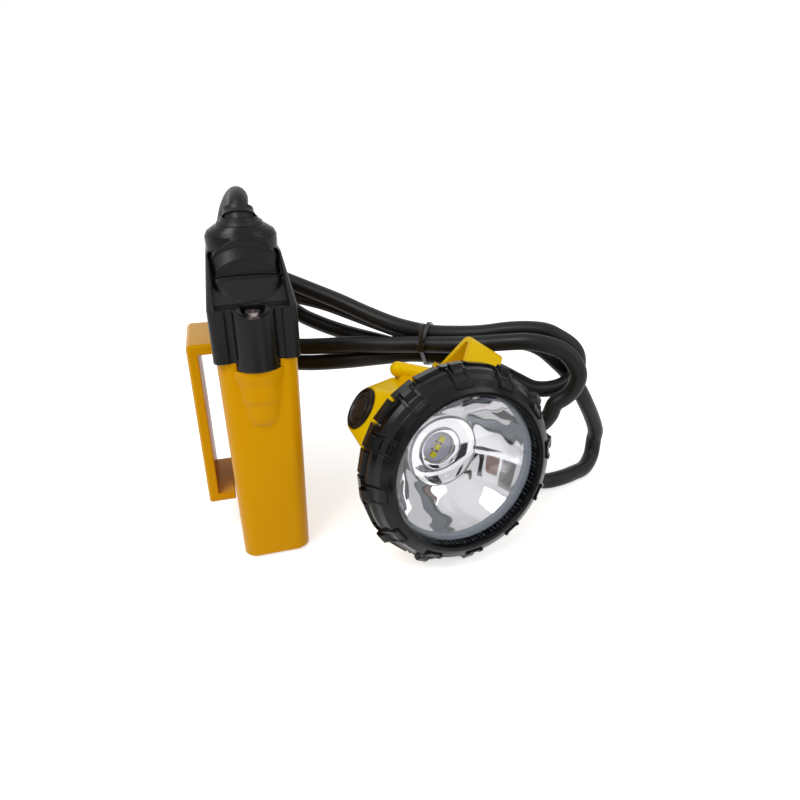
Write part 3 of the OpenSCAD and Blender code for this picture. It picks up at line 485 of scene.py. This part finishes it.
# the floor lies a hair below the lamp, so that no two faces coincide
FLOOR_HALF, FLOOR_DROP = 4, -0.0002
mesh = bpy.data.meshes.new("floor")
mesh.from_pydata([(x * FLOOR_HALF, y * FLOOR_HALF, FLOOR_DROP)
                  for x, y in ((-1, -1), (1, -1), (1, 1), (-1, 1))], [], [(0, 1, 2, 3)])
floor = bpy.data.objects.new("floor", mesh)
bpy.context.collection.objects.link(floor)
paper = bpy.data.materials.new("paper")
paper.use_nodes = True
tree = paper.node_tree
sheet = tree.nodes["Principled BSDF"]
sheet.inputs["Base Color"].default_value = (0.80, 0.80, 0.80, 1)
sheet.inputs["Roughness"].default_value = 0.9
sheet.inputs["Specular IOR Level"].default_value = 0.0
glow = tree.nodes.new("ShaderNodeEmission")
glow.inputs["Strength"].default_value = 0.62
dark = tree.nodes.new("ShaderNodeEmission")
dark.inputs["Strength"].default_value = 0.0
lift = tree.nodes.new("ShaderNodeMixShader")
both = tree.nodes.new("ShaderNodeAddShader")
tree.links.new(white_to_the_eye(tree), lift.inputs[0])
tree.links.new(dark.outputs[0], lift.inputs[1])
tree.links.new(glow.outputs[0], lift.inputs[2])
tree.links.new(sheet.outputs[0], both.inputs[0])
tree.links.new(lift.outputs[0], both.inputs[1])
tree.links.new(both.outputs[0], tree.nodes["Material Output"].inputs["Surface"])
mesh.materials.append(paper)


def lamp_panel(name, place, aim, size, power):
    """A soft square studio light at place, turned to aim."""
    light = bpy.data.lights.new(name, "AREA")
    light.energy = power
    light.shape = "RECTANGLE"
    light.size = light.size_y = size
    panel = bpy.data.objects.new(name, light)
    panel.location = place
    panel.rotation_euler = (Vector(aim) - Vector(place)).to_track_quat("-Z", "Y").to_euler()
    bpy.context.collection.objects.link(panel)


CARD_CENTRE, CARD_FAR = np.array([0.08, -0.06, 0.0]), 0.75


def dark_card(name, bearing, far, wide, low, high, colour):
    """An upright studio card at a bearing and distance from the lamp head, from a low to a
    high edge, seen only in what the lamp's shiny parts reflect. Bearing nought is straight
    ahead of the pack, and more is to the right."""
    turn = math.radians(bearing)
    ahead = np.array([math.sin(turn), -math.cos(turn), 0.0])
    side = np.array([math.cos(turn), math.sin(turn), 0.0])
    foot = CARD_CENTRE + far * ahead
    corners = [foot + x * wide / 2 * side + z * UP
               for x, z in ((-1, low), (1, low), (1, high), (-1, high))]
    flag(name, corners, colour)


def flag(name, corners, colour):
    """A flat card between four corners, seen only in reflections."""
    mesh = bpy.data.meshes.new(name)
    mesh.from_pydata([tuple(c) for c in corners], [], [(0, 1, 2, 3)])
    mesh.materials.append(finish(name, colour, 0.9, specular=0.0))
    card = bpy.data.objects.new(name, mesh)
    card.visible_camera = card.visible_diffuse = card.visible_shadow = False
    bpy.context.collection.objects.link(card)


for name, bearing, wide, low, high, colour in (
        ("card_a", -78, 0.20, 0.02, 0.40, (0.03, 0.03, 0.03)),
        ("card_b", -60, 0.10, 0.02, 0.55, (0.10, 0.09, 0.09)),
        ("card_c", -47, 0.15, 0.01, 0.36, (0.30, 0.17, 0.14)),
        ("card_d", -33, 0.11, 0.01, 0.50, (0.03, 0.03, 0.03)),
        ("card_e", -16, 0.07, 0.02, 0.60, (0.06, 0.05, 0.05)),
        ("card_f", 8, 0.09, 0.10, 0.45, (0.03, 0.03, 0.03)),
        ("card_g", 40, 0.20, 0.01, 0.60, (0.05, 0.05, 0.05)),
        ("card_h", 66, 0.14, 0.02, 0.70, (0.25, 0.14, 0.12)),
        ("card_i", 95, 0.16, 0.02, 0.45, (0.03, 0.03, 0.03)),
        ("card_j", 125, 0.12, 0.02, 0.50, (0.06, 0.06, 0.06))):
    dark_card(name, bearing, CARD_FAR, wide, low, high, colour)
# two more that lie just above the floor, in front of the lamp head
FLAG_UP = 0.002
for name, outline, colour in (
        ("flag_right", [(0.11, -0.17), (0.22, -0.15), (0.26, -0.26), (0.13, -0.30)],
         (0.05, 0.05, 0.05)),
        ("flag_left", [(-0.06, -0.16), (0.04, -0.19), (0.04, -0.30), (-0.10, -0.26)],
         (0.12, 0.10, 0.10))):
    flag(name, [(x, y, FLAG_UP) for x, y in outline], colour)

LAMP_MIDDLE = (0.06, 0, 0.06)
lamp_panel("key", (-0.35, -0.35, 0.75), LAMP_MIDDLE, 0.35, 3.2)
lamp_panel("fill", (0.75, -0.55, 0.50), LAMP_MIDDLE, 0.50, 2.2)

CAMERA_AT = (-0.0095, -0.2652, 0.1832)
CAMERA_BEARING, CAMERA_DOWN = math.radians(16.6), math.radians(25.2)
LENS_MM, SENSOR_MM, NEAR_CUT = 27, 36, 0.01

camera_data = bpy.data.cameras.new("camera")
camera_data.lens = LENS_MM
camera_data.sensor_width = SENSOR_MM
camera_data.clip_start = NEAR_CUT
camera = bpy.data.objects.new("camera", camera_data)
camera.location = CAMERA_AT
look = Vector((math.sin(CAMERA_BEARING) * math.cos(CAMERA_DOWN),
               math.cos(CAMERA_BEARING) * math.cos(CAMERA_DOWN), -math.sin(CAMERA_DOWN)))
camera.rotation_euler = look.to_track_quat("-Z", "Y").to_euler()
bpy.context.collection.objects.link(camera)
bpy.context.scene.camera = camera
bpy.context.scene.view_settings.view_transform = "Standard"
